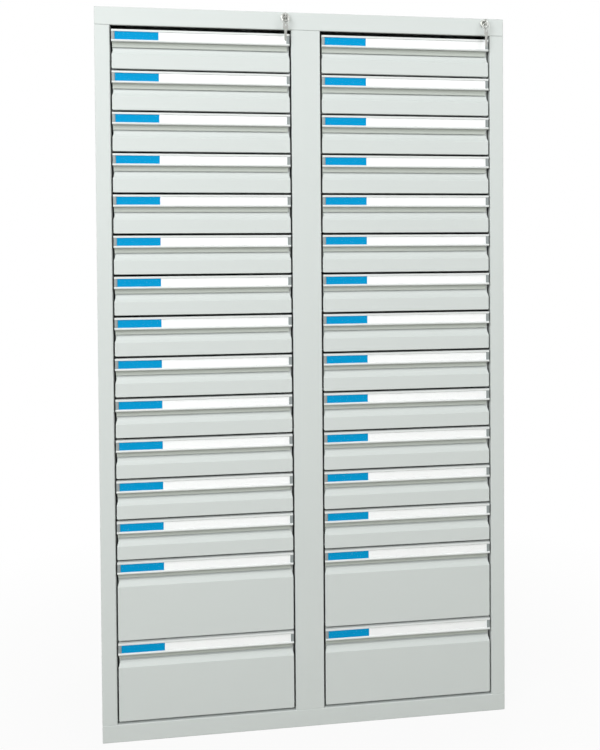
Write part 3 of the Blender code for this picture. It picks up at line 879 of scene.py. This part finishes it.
def runner_mesh(name, m, side):
    """Folded runner on a pan's side: a flange that slides on the ledge and an upright leg."""
    sizes = m.sizes
    inner = m.half_pan + sizes.seam / 2
    low_z = sizes.pan_floor_rise
    path = [(side * inner, low_z + sizes.runner_leg), (side * inner, low_z),
            (side * m.half_runner, low_z)]
    outline = folded_section(path, side * sizes.drawer_sheet, sizes.drawer_sheet * BEND_SHARE)
    front = m.panel_y + sizes.drawer_sheet + sizes.seam
    return smoothed(prism(name, outline, "Y", front, m.back))


def back_sheet_mesh(name, low, high, seam_side):
    """Back sheet with two pressed ribs and a round edge along the middle seam."""
    sizes = bpy.context.scene.cabinet_sizes
    thickness = high.y - low.y
    fold = thickness * 1.3
    path = [(high.x, high.y)]
    for share in (2 / 3, 1 / 3):
        middle = low.x + (high.x - low.x) * share
        half = sizes.swage_width / 2
        foot = half + sizes.swage_slope
        top = high.y + sizes.swage_rise
        path += [(middle + foot, high.y), (middle + half, top), (middle - half, top),
                 (middle - foot, high.y)]
    path.append((low.x, high.y))
    if seam_side > 0:
        path.insert(0, (high.x, high.y - fold))
    else:
        path.append((low.x, high.y - fold))
    outline = folded_section(path, thickness, thickness * BEND_SHARE)
    return smoothed(prism(name, outline, "Z", low.z, high.z), RIB_ANGLE)


def screw_mesh(name):
    """Flush countersunk screw with a cross recess, its head towards the back."""
    sizes = bpy.context.scene.cabinet_sizes
    radius = sizes.screw_radius
    soft, shank = radius * 0.08, radius * 0.45
    head_depth, depth = radius * 0.6, radius * 0.75
    arm, width, recess = radius * 0.58, radius * 0.13, radius * 0.3
    outline = [(radius - soft, 0), (radius, -soft), (radius, -2 * soft), (shank, -head_depth),
               (shank, -depth)]
    head = turned(name, outline, (0, 0), False, ROUND_STEPS // 2)
    cross = [bevelled_block("recess", (-x, -recess, -z), (x, soft, z), width * 0.3, 1)
             for x, z in ((arm, width), (width, arm))]
    return smoothed(cut(head, *cross))


def bay_sides(bay):
    """Left and right edge of a bay's opening."""
    first = BAYS.index(bay)
    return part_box(STILES[first])[1].x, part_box(STILES[first + 1])[0].x


def folded_part(node, path, axis, side=1):
    """Carcass sheet folded along a path and drawn along one axis of its node's box."""
    sizes = bpy.context.scene.cabinet_sizes
    low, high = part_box(node)
    index = "XYZ".index(axis)
    outline = folded_section(path, side * sizes.sheet, sizes.bend)
    return prism(node, outline, axis, low[index], high[index])


def add_skin(node, mesh):
    """Enamelled piece of the carcass in the place of its CAD node."""
    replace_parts(add_piece(f"{node}_skin", mesh, finish("enamel"), "root"), node)


class Builder(bpy.types.Operator):
    """Shared ways of the cabinet's operators"""
    bl_options = {"REGISTER", "UNDO"}

    def add_to_drawers(self, suffix, maker, finish_name, slot, stands_for=False):
        """One piece on every drawer; drawers of one height share its mesh."""
        meshes = {}
        for name in DRAWERS:
            m = DrawerMeasures(name)
            key = round(m.height, 4)
            if key not in meshes:
                meshes[key] = maker(f"{suffix}_{len(meshes)}", m)
            piece = add_piece(f"{name}_{suffix}", meshes[key], finish(finish_name), name,
                              m.origin)
            if stands_for:
                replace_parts(piece, name)

    def add_pair_to_drawers(self, suffix, maker, finish_name, slot):
        """A left and a right piece on every drawer."""
        for label, side in (("left", -1), ("right", 1)):
            self.add_to_drawers(f"{label}_{suffix}",
                                lambda name, m, side=side: maker(name, m, side),
                                finish_name, slot)


class CABINET_OT_fronts(Builder):
    """Add the pressed drawer fronts"""
    bl_idname = "cabinet.fronts"
    bl_label = "Drawer Fronts"

    def execute(self, context):
        self.add_to_drawers("front", front_mesh, "enamel", "drawer_enamel", True)
        return {"FINISHED"}


class CABINET_OT_strips(Builder):
    """Add the white pull strips along the top of the fronts"""
    bl_idname = "cabinet.strips"
    bl_label = "Pull Strips"

    def execute(self, context):
        self.add_to_drawers("strip", strip_mesh, "strip", "drawer_enamel")
        return {"FINISHED"}


class CABINET_OT_caps(Builder):
    """Add a grey cap at both ends of every strip"""
    bl_idname = "cabinet.caps"
    bl_label = "End Caps"

    def execute(self, context):
        self.add_pair_to_drawers("cap", cap_mesh, "cap", "drawer_enamel")
        return {"FINISHED"}


class CABINET_OT_labels(Builder):
    """Add the blue and white label cards and their clear covers"""
    bl_idname = "cabinet.labels"
    bl_label = "Label Cards and Covers"

    def execute(self, context):
        def blue(name, m):
            start = m.sizes.cap_width - m.half_front
            return card_mesh(name, m, start, start + m.sizes.blue_card)

        def white(name, m):
            end = m.half_front - m.sizes.cap_width
            start = -end + m.sizes.blue_card + m.sizes.seam / 3
            return card_mesh(name, m, start, end)

        self.add_to_drawers("blue_card", blue, "blue", "drawer_enamel")
        self.add_to_drawers("white_card", white, "paper", "drawer_enamel")
        self.add_to_drawers("cover", cover_mesh, "cover", "drawer_enamel")
        return {"FINISHED"}


class CABINET_OT_pans(Builder):
    """Add the pans, the grip panels in front of them and their runners"""
    bl_idname = "cabinet.pans"
    bl_label = "Drawer Pans"

    def execute(self, context):
        self.add_to_drawers("grip_panel", grip_panel_mesh, "enamel", "drawer_enamel")
        # The liners' darker finish is painted shade inside the grips
        self.add_to_drawers("grip_liner", grip_liner_mesh, "liner_painted_shade", "drawer_enamel")
        self.add_to_drawers("pan", pan_mesh, "enamel", "drawer_enamel")
        self.add_pair_to_drawers("runner", runner_mesh, "zinc", "galvanised")
        return {"FINISHED"}


class CABINET_OT_frame(Builder):
    """Add the front frame: two rails and three stiles with round bends"""
    bl_idname = "cabinet.front_frame"
    bl_label = "Front Frame"

    def execute(self, context):
        sizes = context.scene.cabinet_sizes
        for node in ("top_rail", "bottom_rail"):
            low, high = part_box(node)
            rail = shell(node, open_box(low, high, 1, 1, sizes.bend), sizes.sheet)
            if node == "top_rail":
                rail = cut(rail, *self.rail_openings(low, high, sizes))
            add_skin(node, smoothed(rail))
        for node in STILES:
            low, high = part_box(node)
            path = [(low.x, high.y), (low.x, low.y), (high.x, low.y), (high.x, high.y)]
            add_skin(node, smoothed(folded_part(node, path, "Z")))
        return {"FINISHED"}

    def rail_openings(self, low, high, sizes):
        """Lock holes, and the cuts that open the rail's underside behind its lip."""
        tools = []
        for bay in BAYS:
            body_low, body_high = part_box(f"{bay}_lock_body")
            radius = (body_high.x - body_low.x) / 2 * LOCK_HOLE_SHARE
            hole = [(radius, low.y - sizes.bend), (radius, low.y + 2 * sizes.bend)]
            tools.append(turned("lock_hole", hole, face_centre(body_low, body_high), False))
            left, right = bay_sides(bay)
            tools.append(bevelled_block("rail_opening",
                                        (left, low.y + sizes.rail_lip, low.z - sizes.bend),
                                        (right, high.y + sizes.bend, low.z + sizes.bend),
                                        sizes.seam))
        return tools


class CABINET_OT_panels(Builder):
    """Add the side, top, bottom and back panels with their screws"""
    bl_idname = "cabinet.panels"
    bl_label = "Panels"

    def execute(self, context):
        screw = screw_mesh("back_screw")
        for node, side in (("left_side_panel", -1), ("right_side_panel", 1)):
            low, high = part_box(node)
            outer, inner = (low.x, high.x) if side < 0 else (high.x, low.x)
            path = [(outer, low.y), (outer, high.y), (inner, high.y)]
            panel = folded_part(node, path, "Z", side)
            add_skin(node, smoothed(cut(panel, *self.add_screws(node, low, high, screw))))
        for node, up in (("top_panel", -1), ("bottom_panel", 1)):
            low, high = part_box(node)
            edge, flat = (low.z, high.z) if up < 0 else (high.z, low.z)
            path = [(low.x, edge), (low.x, flat), (high.x, flat), (high.x, edge)]
            add_skin(node, smoothed(folded_part(node, path, "Y", up)))
        for node, seam_side in (("left_back_panel", 1), ("right_back_panel", -1)):
            add_skin(node, back_sheet_mesh(node, *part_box(node), seam_side))
        coat("centre_partition", "enamel")
        return {"FINISHED"}

    def add_screws(self, node, low, high, screw):
        """Put screws in a side panel's back flange, and give back the cutters of their holes."""
        sizes = bpy.context.scene.cabinet_sizes
        x = (low.x + high.x) / 2
        radius = sizes.screw_radius + sizes.seam
        reach = [(radius, high.y - 2 * sizes.sheet), (radius, high.y + sizes.sheet)]
        holes = []
        for index, z in enumerate(spread(low.z, high.z, sizes.screw_spacing)):
            holes.append(turned("screw_hole", reach, (x, z), False))
            add_piece(f"{node}_screw_{index + 1}", screw, finish("zinc"), "root",
                      (x, high.y, z))
        return holes


def coat(node, finish_name):
    """Give a carried-over CAD node one of the finishes."""
    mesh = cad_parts[node].data
    mesh.materials.clear()
    mesh.materials.append(finish(finish_name))


class CABINET_OT_racks(Builder):
    """Finish the runner racks and lock bars inside the carcass"""
    bl_idname = "cabinet.racks"
    bl_label = "Racks and Bars"

    def execute(self, context):
        for bay in BAYS:
            for side in ("left", "right"):
                coat(f"{bay}_bay_{side}_rack", "zinc")
            coat(f"{bay}_lock_bar", "zinc")
            coat(f"{bay}_lock_cam", "zinc")
        return {"FINISHED"}


class CABINET_OT_locks(Builder):
    """Add the lock rosettes, plugs, keys and rings"""
    bl_idname = "cabinet.locks"
    bl_label = "Locks and Keys"

    def execute(self, context):
        sizes = context.scene.cabinet_sizes
        for bay in BAYS:
            plug_low, plug_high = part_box(f"{bay}_lock_plug")
            plug = lock_plug_mesh(f"{bay}_plug_skin", plug_low, plug_high, sizes)
            self.add(bay, "lock_plug", plug, f"{bay}_plug")
            bore = (plug_high.x - plug_low.x) / 2 + sizes.seam
            body = lock_body_mesh(f"{bay}_body_skin", *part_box(f"{bay}_lock_body"), bore)
            self.add(bay, "lock_body", body, "root")
            low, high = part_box(f"{bay}_key")
            centre = (low + high) / 2
            key = key_mesh(f"{bay}_key_skin", high.y - low.y, sizes)
            into_lock = Matrix(((0, 1, 0, 0), (0, 0, -1, 0), (-1, 0, 0, 0), (0, 0, 0, 1)))
            self.add(bay, "key", key, f"{bay}_plug",
                     (centre.x, low.y + sizes.bow_radius, centre.z), into_lock)
            low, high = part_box(f"{bay}_spare_key")
            centre = (low + high) / 2
            spare = key_mesh(f"{bay}_spare_key_skin", high.z - low.z, sizes)
            self.add(bay, "spare_key", spare, f"{bay}_spare_key",
                     (centre.x, centre.y, high.z - sizes.bow_radius),
                     Matrix.Rotation(SPARE_KEY_TURN, 4, "Z"))
            low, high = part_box(f"{bay}_key_ring")
            wire = (high.y - low.y) / 2
            ring = ring_mesh(f"{bay}_ring_skin", (high.x - low.x) / 2 - wire, wire)
            self.add(bay, "key_ring", ring, f"{bay}_key_ring", (low + high) / 2)
        return {"FINISHED"}

    def add(self, bay, part, mesh, body, place=(0, 0, 0), turn=Matrix()):
        """One piece of a lock in the place of its CAD node."""
        slot = "plug" if part == "lock_plug" else "nickel"
        piece = add_piece(mesh.name, mesh, finish(slot), body, place, turn)
        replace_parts(piece, f"{bay}_{part}")


class CABINET_OT_stage(Builder):
    """Set up the camera, the pale floor, the white surroundings and the soft lights"""
    bl_idname = "cabinet.stage"
    bl_label = "Stage"

    def execute(self, context):
        self.camera(context)
        self.floor(context)
        self.surroundings(context)
        for name, place, size, power in LAMPS:
            self.lamp(context, name, place, size, power)
        return {"FINISHED"}

    def camera(self, context):
        data = bpy.data.cameras.new("photo_camera")
        data.sensor_width = SENSOR_MM
        data.lens = FOCAL_PIXELS * SENSOR_MM / PHOTO_HEIGHT
        data.shift_x = (PHOTO_WIDTH / 2 - PRINCIPAL_X) / PHOTO_HEIGHT
        data.shift_y = (PRINCIPAL_Y - PHOTO_HEIGHT / 2) / PHOTO_HEIGHT
        data.clip_start = CLIP_START
        camera = bpy.data.objects.new("photo_camera", data)
        turn = (Matrix.Rotation(-CAMERA_YAW, 4, "Z")
                @ Matrix.Rotation(math.pi / 2 + CAMERA_PITCH, 4, "X")
                @ Matrix.Rotation(CAMERA_ROLL, 4, "Z"))
        camera.matrix_world = Matrix.Translation(CAMERA_PLACE) @ turn
        context.scene.collection.objects.link(camera)
        context.scene.camera = camera

    def floor(self, context):
        bm = bmesh.new()
        bmesh.ops.create_circle(bm, cap_ends=True, segments=ROUND_STEPS, radius=FLOOR_RADIUS)
        mesh = to_mesh("floor", bm)
        shades = Shades("pale_floor")
        far = shades.add("ShaderNodeVectorMath", {"operation": "LENGTH"},
                         {0: shades.coordinates()}, "Value")
        fade = shades.add("ShaderNodeMapRange", {"clamp": True},
                          {"Value": far, "From Min": FADE_START, "From Max": FADE_END,
                           "To Min": NEAREST_WHITE, "To Max": 1.0})
        base = context.scene.cabinet_colours.floor
        dull = shades.add("ShaderNodeBsdfDiffuse", None, {"Color": (*base, 1.0)})
        white = shades.add("ShaderNodeEmission", None, {"Color": (1, 1, 1, 1), "Strength": 1.0})
        shades.put_out(shades.add("ShaderNodeMixShader", None,
                                  {0: shades.background_ray() * fade, 1: dull, 2: white}))
        mesh.materials.append(shades.material)
        floor = bpy.data.objects.new("floor", mesh)
        floor.location.z = -FLOOR_DROP
        context.scene.collection.objects.link(floor)

    def surroundings(self, context):
        world = bpy.data.worlds.new("white_room")
        context.scene.world = world
        world.use_nodes = True
        shades = Shades("white_room", world.node_tree)
        seen = shades.background_ray()
        tint = shades.mix(seen, ROOM_TINT, (1.0, 1.0, 1.0, 1.0))
        light = shades.add("ShaderNodeBackground", None,
                           {"Color": tint, "Strength": ROOM_LIGHT + (1 - ROOM_LIGHT) * seen})
        shades.put_out(light, "ShaderNodeOutputWorld")

    def lamp(self, context, name, place, size, power):
        data = bpy.data.lights.new(name, "AREA")
        data.shape = "RECTANGLE"
        data.size, data.size_y = size
        data.energy = power
        data.color = LAMP_TINT
        lamp = bpy.data.objects.new(name, data)
        look = Vector(LAMP_TARGET) - Vector(place)
        lamp.matrix_world = (Matrix.Translation(place)
                             @ look.to_track_quat("-Z", "Y").to_matrix().to_4x4())
        context.scene.collection.objects.link(lamp)


OPERATORS = (CABINET_OT_stage, CABINET_OT_frame, CABINET_OT_panels, CABINET_OT_racks,
             CABINET_OT_fronts, CABINET_OT_strips, CABINET_OT_caps, CABINET_OT_labels,
             CABINET_OT_pans, CABINET_OT_locks)


class CABINET_PT_panel(bpy.types.Panel):
    """Sidebar panel with the cabinet's pieces, sizes and colours"""
    bl_idname = "CABINET_PT_panel"
    bl_label = "Drawer Cabinet"
    bl_space_type = "VIEW_3D"
    bl_region_type = "UI"
    bl_category = "Cabinet"

    def draw(self, context):
        for operator in OPERATORS:
            self.layout.operator(operator.bl_idname)
        for group in (context.scene.cabinet_sizes, context.scene.cabinet_colours):
            for name in group.bl_rna.properties.keys():
                if name not in ("rna_type", "name"):
                    self.layout.prop(group, name)


CLASSES = (CabinetSizes, CabinetColours, *OPERATORS, CABINET_PT_panel)


def register():
    for item in CLASSES:
        bpy.utils.register_class(item)
    bpy.types.Scene.cabinet_sizes = bpy.props.PointerProperty(type=CabinetSizes)
    bpy.types.Scene.cabinet_colours = bpy.props.PointerProperty(type=CabinetColours)


def unregister():
    del bpy.types.Scene.cabinet_colours
    del bpy.types.Scene.cabinet_sizes
    for item in reversed(CLASSES):
        bpy.utils.unregister_class(item)


def main():
    register()
    scene = bpy.context.scene
    scene.view_settings.view_transform = "Standard"
    for operator in OPERATORS:
        group, name = operator.bl_idname.split(".")
        getattr(getattr(bpy.ops, group), name)()


if __name__ == "__main__":
    main()
